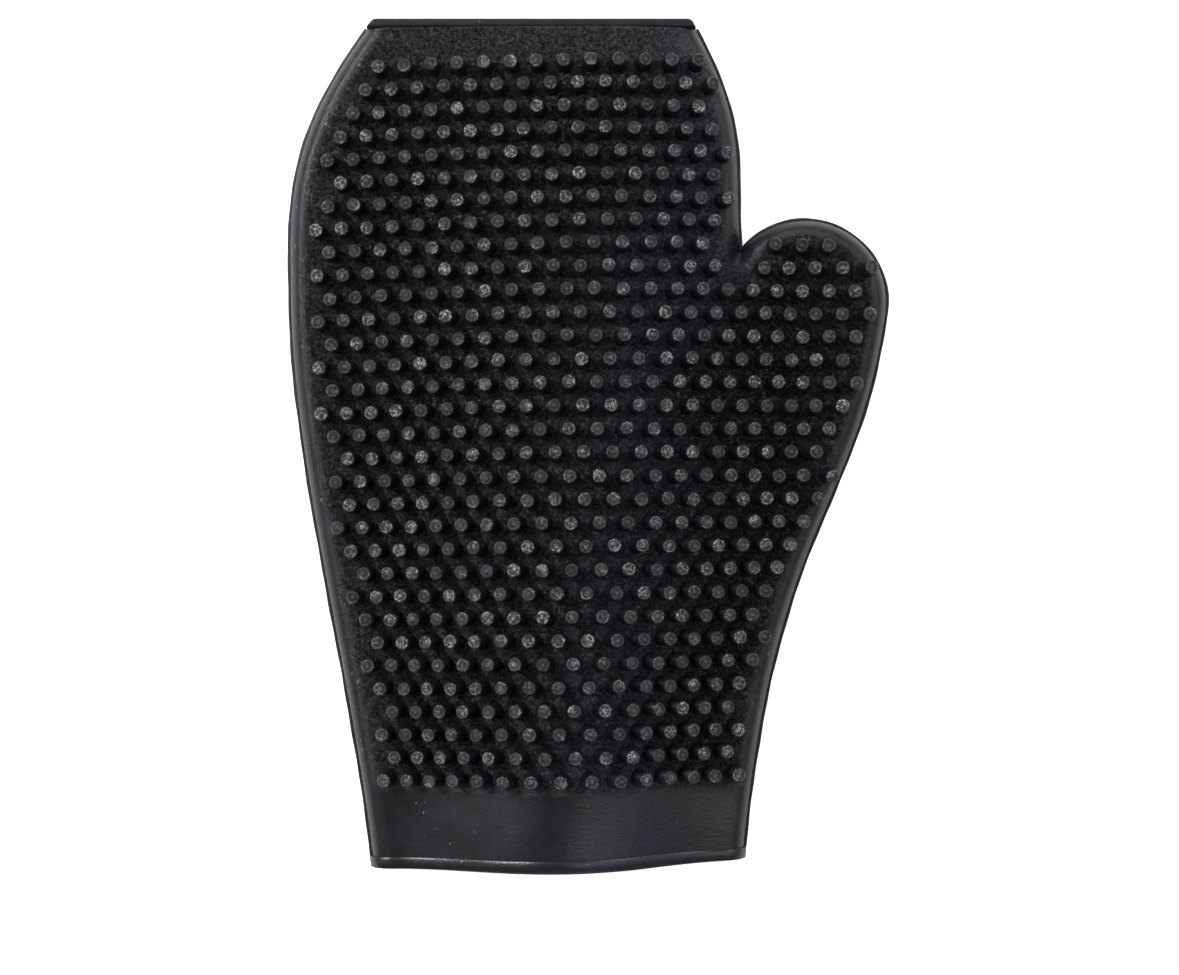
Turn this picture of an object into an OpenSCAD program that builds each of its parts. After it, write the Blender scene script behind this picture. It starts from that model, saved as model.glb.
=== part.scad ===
// Rubber grooming mitt with a thumb: a hollow glove-shaped curry brush.
// It lies on its back with the pins up. The cuff is at -Y, the fingertips at +Y,
// the thumb at +X, and the origin is under the middle of its bounding box.

/* [Overall size] */
// Length from the cuff edge to the fingertip band, all included
mitt_l = 236; // [200:1:285]
// Width over the palm and the thumb, parting ridge included
mitt_w = 168; // [142:1:202]
// Height above the cuff edge at which the hand is widest
wide_h = 161; // [135:1:190]
// Width of the cuff
cuff_w = 103; // [86:1:122]
// Sideways place of the cuff's middle
cuff_x = -8.4; // [-14:0.1:-2]
// How much lower the cuff edge is at the little finger than at the thumb
cuff_skew = 2.5; // [0:0.1:6]
// Width of the straight fingertip end
tip_w = 91.6; // [78:0.1:110]
// Sideways place of the fingertip end's middle
tip_x = -15.9; // [-22:0.1:-8]

/* [Thumb] */
// Radius of the round end of the thumb
thumb_r = 22.8; // [19:0.1:27]
// Height of the thumb's centre above the cuff edge
thumb_h = 157.5; // [140:0.5:175]
// Length of the crease that runs down from the thumb's crotch
crease_l = 10; // [8:0.5:16]
// Depth of that crease at the crotch
crease_depth = 3.5; // [1:0.1:4.5]

/* [Rubber shell] */
// Thickness of the rubber
wall = 2.2; // [1.6:0.1:3]
// Radius of the rounded side, from the parting plane to the face
roll_r = 6; // [5:0.1:8]
// Rise of the palm above its sides at the cuff
rise_cuff = 16; // [10:0.5:24]
// Rise of the palm half way along
rise_mid = 13; // [6:0.5:16]
// Rise of the palm at the fingertips
rise_tip = 1; // [0:0.5:6]
// Sideways place of the palm's crown at the cuff
crown_cuff_x = -7; // [-12:0.5:0]
// Sideways place of the palm's crown at the fingertips
crown_tip_x = 2.5; // [-10:0.5:6]

/* [Edges] */
// How far the moulding's parting ridge stands out from the sides
ridge_out = 0.8; // [0.4:0.1:1.5]
// Thickness of the parting ridge
ridge_t = 1; // [0.6:0.1:2]
// Depth of the flat band that closes the fingertip end
band_d = 2.4; // [2:0.1:6]
// How far the band's faces lie below the palm's and the back's
band_step = 0.4; // [0.2:0.1:2]
// Radius of the band's corners
band_corner_r = 2; // [1:0.1:2]
// Width of the bead around the cuff edge
bead_w = 3.2; // [2:0.1:5]
// How far the bead stands out from the rubber
bead_out = 0.7; // [0.4:0.1:1.5]

/* [Pins] */
// Height of a pin above the palm
pin_h = 5.5; // [3.5:0.1:7]
// Diameter of a pin's flat tip
pin_d = 3.8; // [3:0.1:4.4]
// Diameter of a pin where it leaves the palm
pin_root_d = 4.8; // [4:0.1:5.6]
// Chamfer round a pin's tip
pin_chamfer = 0.35; // [0.1:0.05:0.6]
// Distance between pins along a row, measured over the curve of the palm
pin_pitch = 7.3; // [6.6:0.05:8.8]
// Distance between rows
row_pitch = 6.33; // [6:0.01:7.6]
// Turn of the pin field against the mitt, degrees
field_turn = 0.86; // [0:0.02:2]
// Distance of the first row from the fingertip band
first_row = 10.9; // [7:0.1:14]
// Length of the smooth cuff below the last row
cuff_plain = 26; // [20:1:40]
// Sideways place of the middle pin of the first row
first_pin_x = -6.6; // [-10:0.1:-3]
// How far the ends of the longest rows bend down towards the cuff
row_bow = 0.8; // [0:0.1:2]
// Least distance of a pin's middle from the little finger's side
outer_margin = 7; // [5:0.1:9]
// Least distance of a pin's middle from the side of the fingers and the thumb
finger_margin = 3.4; // [3.2:0.1:7]
// Least distance of a pin's middle from the side of the heel, below the thumb
heel_margin = 5.2; // [4:0.1:8]
// Height above the cuff edge at which the heel's margin gives way to the thumb's
heel_h = 88; // [70:1:110]
// Least distance of a pin's middle from the crease
crease_margin = 2.6; // [2.4:0.1:5]
// Least distance of a pin's middle from the crotch
crotch_margin = 6; // [5:0.1:8]
// How far a pin near the side leans with the rounded side, where 1 stands it square to it
side_lean = 0.5; // [0.3:0.05:1]

/* [Back nubs] */
// Height of the low nubs on the back, which the mitt rests on
nub_h = 1.5; // [1:0.1:2.5]
// Diameter of a nub's flat tip
nub_d = 2.6; // [2:0.1:3.4]
// Diameter of a nub at its root
nub_root_d = 3.6; // [3:0.1:4.4]
// Distance between nubs along a row and between rows
nub_pitch = 9; // [8:0.1:12]
// Least distance of a nub's middle from the side
nub_margin = 11; // [9:0.1:14]

/* [Hidden] */
$fn = 24;
rubber = [0.13, 0.13, 0.14];
worn_rubber = [0.24, 0.24, 0.25];
// parting plane between the palm half and the back half
mid_z = nub_h + roll_r;
y_cuff = -mitt_l / 2;
y_band = mitt_l / 2 - band_d;
half_w = mitt_w / 2 - ridge_out;
// the thumb's round end runs between these angles, from its outer side over the top to the crotch
thumb_start_angle = -8;
crotch_angle = 142;
crease_angle = 248;
// pins and nubs are sunk this far into the rubber that they grow from
root_depth = 0.9;
// radius of the edge where the palm turns down to the fingertip band
end_r = 0.9;
band_t = 2 * (roll_r - band_step);

// Curves of the side, seen from above -------------------------------------

function unit(a) = [cos(a), sin(a)];
// a curve's handle, as its length and its direction
cuff_left_handle = [56, 96.5];
wide_handle_down = [46, -90];
wide_handle_up = [20, 90];
tip_left_handle = [40, 53];
cuff_right_handle = [95, 84.6];
thumb_handle = [56, thumb_start_angle - 90];
crotch_handle = [27, 93.6];
tip_right_handle = [31.5, 118.5];
function reach(handle) = handle[0] * unit(handle[1]);
function bezier(p, t) = pow(1 - t, 3) * p[0] + 3 * t * pow(1 - t, 2) * p[1]
    + 3 * t * t * (1 - t) * p[2] + pow(t, 3) * p[3];
// the same curve moved inwards, where side is 1 for a left-hand side and -1 for a right-hand one
function bezier_in(p, t, inset, side) =
    let (step = 0.01, a = bezier(p, max(0, t - step)), b = bezier(p, min(1, t + step)),
         along = (b - a) / norm(b - a))
    bezier(p, t) + inset * side * [along.y, -along.x];

cuff_left = [cuff_x - cuff_w / 2, y_cuff];
cuff_right = [cuff_x + cuff_w / 2, y_cuff + cuff_skew];
widest = [-half_w, y_cuff + wide_h];
tip_left = [tip_x - tip_w / 2, y_band];
tip_right = [tip_x + tip_w / 2, y_band];
thumb_c = [half_w - thumb_r, y_cuff + thumb_h];
thumb_start = thumb_c + thumb_r * unit(thumb_start_angle);
crotch = thumb_c + thumb_r * unit(crotch_angle);
crease_end = crotch + crease_l * unit(crease_angle);

heel_left = [cuff_left, cuff_left + reach(cuff_left_handle), widest + reach(wide_handle_down), widest];
edge_left = [widest, widest + reach(wide_handle_up), tip_left - reach(tip_left_handle), tip_left];
heel_right = [cuff_right, cuff_right + reach(cuff_right_handle), thumb_start + reach(thumb_handle),
              thumb_start];
edge_right = [crotch, crotch + reach(crotch_handle), tip_right - reach(tip_right_handle), tip_right];

side_steps = 10;
function left_side(inset) = concat(
    [for (i = [0:side_steps]) bezier_in(heel_left, i / side_steps, inset, 1)],
    [for (i = [1:side_steps]) bezier_in(edge_left, i / side_steps, inset, 1)]);
function heel_side(inset) =
    [for (i = [0:side_steps]) bezier_in(heel_right, i / side_steps, inset, -1)];
function thumb_arc(inset, t) = thumb_c
    + (thumb_r - inset) * unit(thumb_start_angle + t * (crotch_angle - thumb_start_angle));
function finger_side(inset) =
    [for (i = [0:side_steps]) bezier_in(edge_right, i / side_steps, inset, -1)];
arc_steps = 14;
function outline(inset) = concat(left_side(inset),
    [for (i = [side_steps:-1:1]) finger_side(inset)[i]],
    [for (i = [arc_steps:-1:1]) thumb_arc(inset, i / arc_steps)],
    [for (i = [side_steps:-1:0]) heel_side(inset)[i]]);

// the point at height y on a side that only climbs
function by_height(side) = [for (p = side) [p.y, p.x]];
function at_height(table, y) = [lookup(y, table), y];

// Height of the palm -------------------------------------------------------

function to_segment(p, a, b) =
    let (ab = b - a, t = max(0, min(1, (p - a) * ab / (ab * ab)))) norm(p - a - t * ab);
edge_line = outline(0);
edge_count = len(edge_line);
// how far a point is from the side, not counting the fingertip end and the cuff
function side_distance(p) = min([for (i = [0:edge_count - 2])
    if (i != 2 * side_steps) to_segment(p, edge_line[i], edge_line[i + 1])]);
function rounded(d, r) = d >= r ? r : sqrt(max(0, r * r - pow(r - max(0, d), 2)));
function smooth(t) = let (c = max(0, min(1, t))) c * c * (3 - 2 * c);

left_table = by_height(left_side(0));
heel_table = by_height(heel_side(0));
finger_table = by_height(finger_side(0));
// the crowned part narrows from the thumb's width to the fingers' width over this stretch
flank_from = y_cuff + 52;
flank_to = y_cuff + 242;
flank_in = 3;
function right_flank(y) =
    let (t = smooth((y - flank_from) / (flank_to - flank_from)))
    (1 - t) * (y < thumb_start.y ? lookup(y, heel_table) : half_w) + t * lookup(y, finger_table);
function rise(y) =
    let (s = (y - y_cuff) / mitt_l) pow(1 - s, 2) * rise_cuff
    + 2 * s * (1 - s) * (2 * rise_mid - (rise_cuff + rise_tip) / 2) + s * s * rise_tip;
function crown(p) =
    let (from = lookup(p.y, left_table) + flank_in, to = right_flank(p.y) - flank_in,
         top = crown_cuff_x + (crown_tip_x - crown_cuff_x) * (p.y - y_cuff) / mitt_l,
         u = p.x < top ? (p.x - top) / (top - from) : (p.x - top) / (to - top))
    rise(p.y) * pow(cos(90 * max(-1, min(1, u))), 2);
crease_half_w = 2.5;
// the share of the height that the crease takes away, more on the inside to keep the wall there
crease_inside = 1.4;
function crease(p, inset) =
    let (along = (p - crease_end) * (crotch - crease_end) / (crease_l * crease_l),
         off = to_segment(p, crease_end, crotch),
         share = crease_depth / roll_r * (inset > 0 ? crease_inside : 1))
    min(1, share) * smooth(along) * exp(-pow(off / crease_half_w, 2));
// height above the parting plane of the palm's outside, or of its inside where inset is the wall
function palm_rise(p, inset) =
    (rounded(side_distance(p) - inset, roll_r - inset) + crown(p)) * (1 - crease(p, inset));
function back_drop(p, inset) = -rounded(side_distance(p) - inset, roll_r - inset);

// Half shells --------------------------------------------------------------

// Rows run from the left side over the crease line to the right side.
// Below the crotch the right-hand part reaches the thumb's side, above it there is none.
crease_root_x = cuff_x + cuff_w / 5;
lean = 13;
function row_ends(k, n, inset) =
    let (low = n[0], fan = n[1], high = n[2],
         left = by_height(left_side(inset)), heel = heel_side(inset),
         notch = crotch + inset * unit(crease_angle))
    k <= low ?
        let (t = k / low, y = y_cuff + t * (crease_end.y - lean - y_cuff),
             r = bezier_in(heel_right, t, inset, -1),
             root = [crease_root_x, y_cuff + cuff_skew / 2])
        [at_height(left, max(y, y_cuff)), root + t * (crease_end - root), r]
    : k <= low + fan ?
        let (t = (k - low) / fan, y = crease_end.y - lean + t * (crotch.y - crease_end.y + 2 * lean))
        [at_height(left, y), crease_end + t * (notch - crease_end),
         t == 1 ? notch : thumb_arc(inset, t)]
    : let (t = (k - low - fan) / high, y0 = crotch.y + lean, top = y_band - end_r - inset,
           r = at_height(by_height(finger_side(inset)), crotch.y + t * (top - crotch.y)))
        [at_height(left, y0 + t * (top - y0)), r, r];

// places along one part of a row: close together over the rounded sides
function spread(a, b, n, r, from_side, to_side) =
    let (len = norm(b - a), s = min(r, len * 0.4), first = from_side ? n[0] : 0,
         last = to_side ? n[0] : 0, mid = n[1])
    [for (k = [0:first + mid + last])
        let (d = k <= first && from_side ? s * (1 - cos(90 * k / first))
            : k >= first + mid && to_side ? len - s * (1 - cos(90 * (first + mid + last - k) / last))
            : let (lo = from_side ? s : 0, hi = to_side ? len - s : len)
                lo + (hi - lo) * (k - first) / mid)
        len > 0 ? a + (b - a) * d / len : a];
function row_points(ends, n, inset) =
    let (r = roll_r - inset, palm = spread(ends[0], ends[1], [n[3], n[4]], r, true, true),
         thumb = spread(ends[1], ends[2], [n[3], n[5]], r, false, true))
    concat(palm, [for (k = [1:len(thumb) - 1]) thumb[k]]);
// one skin as a grid of points; the last three rows turn down to the parting plane
function skin(n, inset, up) =
    let (rows = n[0] + n[1] + n[2],
         grid = [for (k = [0:rows]) row_points(row_ends(k, n, inset), n, inset)],
         last = len(grid[0]) - 1,
         high = function (p, j) j == 0 || j == last ? 0 : up ? palm_rise(p, inset) : back_drop(p, inset),
         sign = up ? 1 : -1,
         heights = [for (row = grid) [for (j = [0:last]) high(row[j], j)]],
         edge = grid[rows], edge_z = heights[rows],
         lower = function (z, by) sign * max(0, abs(z) - by))
    concat(
        [for (k = [0:rows]) [for (j = [0:last]) [grid[k][j].x, grid[k][j].y, mid_z + heights[k][j]]]],
        [for (step = [[0.7, 0.3], [1, 1]]) [for (j = [0:last])
            [edge[j].x, edge[j].y + end_r * step[0], mid_z + lower(edge_z[j], end_r * step[1])]]],
        [[for (j = [0:last]) [edge[j].x, edge[j].y + end_r, mid_z]]]);
function tri(p, a, b, c) = norm(p[a] - p[b]) < 1e-6 || norm(p[b] - p[c]) < 1e-6
    || norm(p[a] - p[c]) < 1e-6 ? [] : [[a, b, c]];
function quad(p, a, b, c, d) = concat(tri(p, a, b, c), tri(p, a, c, d));
module half_shell(n, up) {
    outer = skin(n, 0, up);
    inner = skin(n, wall, up);
    rows = len(outer);
    cols = len(outer[0]);
    points = [for (s = [outer, inner]) for (row = s) each row];
    at = function (s, k, j) (s * rows + k) * cols + j;
    faces = concat(
        [for (k = [0:rows - 2]) for (j = [0:cols - 2])
            each quad(points, at(0, k, j), at(0, k + 1, j), at(0, k + 1, j + 1), at(0, k, j + 1))],
        [for (k = [0:rows - 2]) for (j = [0:cols - 2])
            each quad(points, at(1, k, j), at(1, k, j + 1), at(1, k + 1, j + 1), at(1, k + 1, j))],
        [for (k = [0:rows - 2]) each concat(
            quad(points, at(0, k, 0), at(1, k, 0), at(1, k + 1, 0), at(0, k + 1, 0)),
            quad(points, at(0, k, cols - 1), at(0, k + 1, cols - 1), at(1, k + 1, cols - 1),
                 at(1, k, cols - 1)))],
        [for (j = [0:cols - 2]) each concat(
            quad(points, at(0, 0, j), at(0, 0, j + 1), at(1, 0, j + 1), at(1, 0, j)),
            quad(points, at(0, rows - 1, j), at(1, rows - 1, j), at(1, rows - 1, j + 1),
                 at(0, rows - 1, j + 1)))]);
    polyhedron(points, up ? faces : [for (f = faces) [f[2], f[1], f[0]]]);
}

// rows below the crease, beside it and above it, then columns over a side, the palm and the thumb
palm_mesh = [13, 9, 9, 4, 10, 5];
back_mesh = [11, 7, 7, 3, 4, 3];
module palm_panel() {
    color(rubber) half_shell(palm_mesh, true);
}
module back_panel() {
    color(rubber) half_shell(back_mesh, false);
}

// Pins ---------------------------------------------------------------------

row_count = floor((y_band - first_row - y_cuff - cuff_plain) / row_pitch) + 1;
probe = 0.3;
// pins stand square to the crown, and lean a little with the rounded side
function lean_height(p) = crown(p) + side_lean * rounded(side_distance(p), roll_r);
function lean_slope(p, by) = (lean_height(p + by) - lean_height(p - by)) / (2 * probe);
function pin_direction(p) =
    let (n = [-lean_slope(p, [probe, 0]), -lean_slope(p, [0, probe]), 1]) n / norm(n);
function crown_slope(p) = (crown(p + [probe, 0]) - crown(p - [probe, 0])) / (2 * probe);
// the next pin of a row, one pitch further along the curve of the palm
function next_pin(p, dir) =
    let (flat = pin_pitch * cos(field_turn),
         half = [p.x + dir * flat / 2 / sqrt(1 + pow(crown_slope(p), 2)), p.y],
         dx = dir * flat / sqrt(1 + pow(crown_slope(half), 2)))
    [p.x + dx, p.y + dx * tan(field_turn)];
function pins_from(p, dir) = abs(p.x) > half_w ? [] : concat([p], pins_from(next_pin(p, dir), dir));
function is_inside(p) = p.x > lookup(p.y, left_table)
    && p.x < (p.y > crotch.y && norm(p - thumb_c) > thumb_r ? lookup(p.y, finger_table)
        : p.y > thumb_start.y ? half_w : lookup(p.y, heel_table));
function pin_margin(p) = p.x < tip_x ? outer_margin
    : p.y < y_cuff + heel_h ? heel_margin : finger_margin;
function has_room(p) = is_inside(p) && side_distance(p) >= pin_margin(p)
    && norm(p - crotch) >= crotch_margin && to_segment(p, crease_end, crotch) >= crease_margin;
function row_pins(row) =
    let (down = (row - 1) * row_pitch,
         x = first_pin_x + (row % 2 == 0 ? pin_pitch / 2 : 0) + tan(field_turn) * down,
         start = [x, y_band - first_row - down + tan(field_turn) * x],
         line = concat(pins_from(start, 1), pins_from(next_pin(start, -1), -1)),
         all = [for (p = line) p - [0, row_bow * pow(p.x / half_w, 2)]])
    [for (p = all) if (has_room(p)) p];
module pin() {
    rotate_extrude()
        polygon([[0, -root_depth], [pin_root_d / 2, -root_depth], [pin_d / 2, pin_h - pin_chamfer],
                 [pin_d / 2 - pin_chamfer, pin_h], [0, pin_h]]);
}
module pin_row(row) {
    color(worn_rubber)
        for (p = row_pins(row))
            let (n = pin_direction(p))
                translate([p.x, p.y, mid_z + palm_rise(p, 0)])
                    rotate([0, acos(n.z), atan2(n.y, n.x)]) pin();
}

// Nubs on the back ----------------------------------------------------------

nub_row_pitch = nub_pitch * sin(60);
nub_group = 3;
nub_chamfer = 0.3;
nub_first_y = y_cuff + cuff_plain;
nub_row_count = floor((y_band - first_row - nub_first_y) / nub_row_pitch) + 1;
nub_groups = ceil(nub_row_count / nub_group);
nub_reach = ceil(half_w / nub_pitch);
function nub_row(row) = [for (k = [-nub_reach:nub_reach])
    let (p = [(k + (row % 2) / 2) * nub_pitch, nub_first_y + row * nub_row_pitch])
    if (is_inside(p) && side_distance(p) >= nub_margin) p];
module nub() {
    rotate_extrude()
        polygon([[0, 0], [nub_d / 2 - nub_chamfer, 0], [nub_d / 2, nub_chamfer],
                 [nub_root_d / 2, nub_h + root_depth], [0, nub_h + root_depth]]);
}
module back_nubs(group) {
    color(rubber)
        for (row = [(group - 1) * nub_group:min(nub_row_count, group * nub_group) - 1], p = nub_row(row))
            translate([p.x, p.y, 0]) nub();
}

// Parting ridge, fingertip band and cuff bead --------------------------------

ridge_bite = 0.1;
module ridge_strip(outer, inner) {
    polygon(concat(outer, [for (i = [len(inner) - 1:-1:0]) inner[i]]));
}
function thumb_side(inset) = concat(heel_side(inset),
    [for (i = [1:arc_steps]) thumb_arc(inset, i / arc_steps)]);
module ridge(right) {
    color(rubber) translate([0, 0, mid_z - ridge_t / 2]) linear_extrude(ridge_t)
        if (right) {
            ridge_strip(thumb_side(-ridge_out), thumb_side(ridge_bite));
            ridge_strip(finger_side(-ridge_out), finger_side(ridge_bite));
        } else {
            ridge_strip(left_side(-ridge_out), left_side(ridge_bite));
        }
}
module parting_ridge_left() {
    ridge(false);
}
module parting_ridge_right() {
    ridge(true);
}

// the band tapers with the sides, and its two outer corners are arcs
band_lean_left = tip_left_handle[1];
band_lean_right = tip_right_handle[1];
function band_end(corner, lean, by) = corner + [by / tan(lean), by];
function corner_arc(c, from, to) = [for (i = [0:6]) c + band_corner_r * unit(from + (to - from) * i / 6)];
module fingertip_band() {
    low_left = band_end(tip_left, band_lean_left, 0);
    low_right = band_end(tip_right, band_lean_right, 0);
    up = band_d - band_corner_r;
    left_c = band_end(tip_left, band_lean_left, up) + [band_corner_r / sin(band_lean_left), 0];
    right_c = band_end(tip_right, band_lean_right, up) - [band_corner_r / sin(band_lean_right), 0];
    color(rubber) translate([0, 0, mid_z - band_t / 2]) linear_extrude(band_t)
        polygon(concat([low_right], corner_arc(right_c, band_lean_right - 90, 90),
                       corner_arc(left_c, 90, band_lean_left + 90), [low_left]));
}

bead_mesh = [4, 12];
bead_round = 0.4;
bead_bite = 0.2;
// the outside of the shell at the given distance above the cuff edge, as [point, outward direction]
function cuff_loop(up) =
    let (left = at_height(left_table, y_cuff + up),
         right = at_height(heel_table, y_cuff + cuff_skew + up),
         line = spread(left, right, bead_mesh, roll_r, true, true), last = len(line) - 1,
         lift = function (p, sign) sign > 0 ? palm_rise(p, 0) : back_drop(p, 0),
         out = function (j, sign) j == 0 ? [-1, 0, 0] : j == last ? [1, 0, 0]
             : let (dz = (lift(line[j] + [probe, 0], sign) - lift(line[j] - [probe, 0], sign)) / 2 / probe,
                    n = [-dz * sign, 0, sign]) n / norm(n),
         at = function (j, sign)
             [line[j].x, line[j].y, mid_z + (j == 0 || j == last ? 0 : lift(line[j], sign))])
    concat([for (j = [0:last]) [at(j, 1), out(j, 1)]],
           [for (j = [last - 1:-1:1]) [at(j, -1), out(j, -1)]]);
module cuff_bead() {
    section = [[0, -bead_bite], [0, bead_out - bead_round], [bead_round, bead_out],
               [bead_w - bead_round, bead_out], [bead_w, bead_out - bead_round], [bead_w, -bead_bite]];
    rings = [for (s = section) [for (q = cuff_loop(s[0])) q[0] + s[1] * q[1]]];
    n = len(rings[0]);
    count = len(section);
    color(rubber) polyhedron([for (r = rings) each r],
        [for (i = [0:count - 1]) for (j = [0:n - 1])
            let (a = i * n, b = (i + 1) % count * n, k = (j + 1) % n)
                each [[a + j, b + j, b + k], [a + j, b + k, a + k]]]);
}

// Nodes ----------------------------------------------------------------------

function numbered(name, k) = str(name, k < 10 ? "_0" : "_", k);

palm_panel();
back_panel();
parting_ridge_left();
parting_ridge_right();
fingertip_band();
cuff_bead();
for (k = [1:row_count]) pin_row(k);
for (k = [1:nub_groups]) back_nubs(k);
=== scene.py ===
import math

import bpy
import numpy as np
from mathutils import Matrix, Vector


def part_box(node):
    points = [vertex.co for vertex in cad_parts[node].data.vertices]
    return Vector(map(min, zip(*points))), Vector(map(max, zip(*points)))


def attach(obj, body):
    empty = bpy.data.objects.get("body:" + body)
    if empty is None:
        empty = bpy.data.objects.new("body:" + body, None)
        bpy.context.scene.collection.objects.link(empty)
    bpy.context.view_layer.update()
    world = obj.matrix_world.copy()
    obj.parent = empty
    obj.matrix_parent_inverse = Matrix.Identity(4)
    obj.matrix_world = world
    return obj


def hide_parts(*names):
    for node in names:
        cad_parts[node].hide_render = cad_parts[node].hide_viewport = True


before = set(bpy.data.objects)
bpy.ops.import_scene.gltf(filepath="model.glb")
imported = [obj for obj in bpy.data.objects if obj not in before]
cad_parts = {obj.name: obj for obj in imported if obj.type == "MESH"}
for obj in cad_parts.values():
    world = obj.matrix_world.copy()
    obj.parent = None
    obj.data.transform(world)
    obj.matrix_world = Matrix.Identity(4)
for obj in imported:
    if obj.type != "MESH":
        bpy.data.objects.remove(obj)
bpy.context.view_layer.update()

# Rubber grooming mitt, lying on its back with the pins up: the cuff is at -Y, the fingertips
# at +Y and the thumb at +X. Sizes are in millimetres, and put_mesh() turns them into metres.


# Camera -----------------------------------------------------------------------
# A long lens looks straight down on the palm, as from a copy stand, with the fingertips up.
# The frame is a little wider than the mitt and leaves some more room below the cuff.

MM = 0.001
VIEW_WIDTH = 329.4
CAMERA_HEIGHT = 724
CAMERA_X = 0.3
CAMERA_Y = -12.2
SENSOR = 36


def box_mm(node):
    """The lowest and highest corners of a CAD node, in millimetres."""
    low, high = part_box(node)
    return np.array(low) / MM, np.array(high) / MM


ridge_low, ridge_high = box_mm("parting_ridge_left")
MID_Z = (ridge_low[2] + ridge_high[2]) / 2

camera_data = bpy.data.cameras.new("palm_camera")
camera_data.sensor_fit = "HORIZONTAL"
camera_data.sensor_width = SENSOR
camera_data.lens = SENSOR * CAMERA_HEIGHT / VIEW_WIDTH
camera_data.clip_end = 10
camera = bpy.data.objects.new("palm_camera", camera_data)
camera.location = (CAMERA_X * MM, CAMERA_Y * MM, (MID_Z + CAMERA_HEIGHT) * MM)
bpy.context.scene.collection.objects.link(camera)
bpy.context.scene.camera = camera


# Palm half of the shell -----------------------------------------------------------
# The half of the hollow moulding that carries the pins: 2.2 mm of black rubber, crowned from
# side to side, with rounded edges, a thumb and a crease below the thumb's crotch.

palm_low, palm_high = box_mm("palm_panel")
CUFF_Y = palm_low[1]
BAND_Y = palm_high[1]
LENGTH = box_mm("fingertip_band")[1][1] - CUFF_Y
HALF_W = 83.2
CUFF_X, CUFF_W, CUFF_SKEW = -8.4, 103, 2.5
WIDE_H = 161
TIP_X, TIP_W = -15.9, 91.6
THUMB_R, THUMB_H = 22.8, 157.5
THUMB_START, CROTCH_ANGLE = -8, 142
CREASE_L, CREASE_DEPTH, CREASE_W, CREASE_ANGLE = 10, 3.5, 2.5, 248
# length of each handle of the sides' curves, and its direction in degrees from +X
CUFF_LEFT_HANDLE, WIDE_HANDLE_DOWN, WIDE_HANDLE_UP = (56, 96.5), (46, -90), (20, 90)
TIP_LEFT_HANDLE, CUFF_RIGHT_HANDLE, THUMB_HANDLE = (40, 53), (95, 84.6), (56, THUMB_START - 90)
CROTCH_HANDLE, TIP_RIGHT_HANDLE = (27, 93.6), (31.5, 118.5)
WALL = 2.2
ROLL_R = 6
END_R = 0.9
RISE_CUFF, RISE_MID, RISE_TIP = 16, 13, 1
CROWN_CUFF_X, CROWN_TIP_X = -7, 2.5
FLANK_FROM, FLANK_TO, FLANK_IN = 52, 242, 3


def toward(degrees):
    """The unit vector at an angle from +X."""
    return np.array([math.cos(math.radians(degrees)), math.sin(math.radians(degrees))])


def reach(handle):
    """The vector of a curve's handle, given as its length and its direction."""
    return handle[0] * toward(handle[1])


cuff_left = np.array([CUFF_X - CUFF_W / 2, CUFF_Y])
cuff_right = np.array([CUFF_X + CUFF_W / 2, CUFF_Y + CUFF_SKEW])
widest = np.array([-HALF_W, CUFF_Y + WIDE_H])
tip_left = np.array([TIP_X - TIP_W / 2, BAND_Y])
tip_right = np.array([TIP_X + TIP_W / 2, BAND_Y])
thumb_c = np.array([HALF_W - THUMB_R, CUFF_Y + THUMB_H])
thumb_start = thumb_c + THUMB_R * toward(THUMB_START)
crotch = thumb_c + THUMB_R * toward(CROTCH_ANGLE)
crease_end = crotch + CREASE_L * toward(CREASE_ANGLE)
HEEL_LEFT = [cuff_left, cuff_left + reach(CUFF_LEFT_HANDLE), widest + reach(WIDE_HANDLE_DOWN), widest]
EDGE_LEFT = [widest, widest + reach(WIDE_HANDLE_UP), tip_left - reach(TIP_LEFT_HANDLE), tip_left]
HEEL_RIGHT = [cuff_right, cuff_right + reach(CUFF_RIGHT_HANDLE), thumb_start + reach(THUMB_HANDLE),
              thumb_start]
EDGE_RIGHT = [crotch, crotch + reach(CROTCH_HANDLE), tip_right - reach(TIP_RIGHT_HANDLE), tip_right]


def side_curve(p, inset, side, steps=70):
    """A cubic Bezier curve with its points moved along the normal: inwards by inset,
    where side is 1 on the left and -1 on the right."""
    t = np.linspace(0, 1, steps + 1)[:, None]
    p = np.array(p)
    at = (1 - t) ** 3 * p[0] + 3 * t * (1 - t) ** 2 * p[1] + 3 * t * t * (1 - t) * p[2] + t ** 3 * p[3]
    along = (1 - t) ** 2 * (p[1] - p[0]) + 2 * t * (1 - t) * (p[2] - p[1]) + t * t * (p[3] - p[2])
    along /= np.linalg.norm(along, axis=1)[:, None]
    return at + inset * side * np.c_[along[:, 1], -along[:, 0]]


def left_side(inset):
    """The little finger's side, from the cuff to the fingertips."""
    return np.vstack([side_curve(HEEL_LEFT, inset, 1), side_curve(EDGE_LEFT, inset, 1)[1:]])


def heel_side(inset):
    """The side from the cuff up to the thumb's round end."""
    return side_curve(HEEL_RIGHT, inset, -1)


def finger_side(inset):
    """The index finger's side, from the crotch to the fingertips."""
    return side_curve(EDGE_RIGHT, inset, -1)


def thumb_arc(inset, t):
    """The thumb's round end: an arc from its outer side, t = 0, over the top to the crotch, t = 1."""
    angle = np.radians(THUMB_START + np.asarray(t) * (CROTCH_ANGLE - THUMB_START))
    return thumb_c + (THUMB_R - inset) * np.stack([np.cos(angle), np.sin(angle)], -1)


def x_at(curve, y):
    """Where a side that only climbs is at height y."""
    return np.interp(y, curve[:, 1], curve[:, 0])


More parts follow.
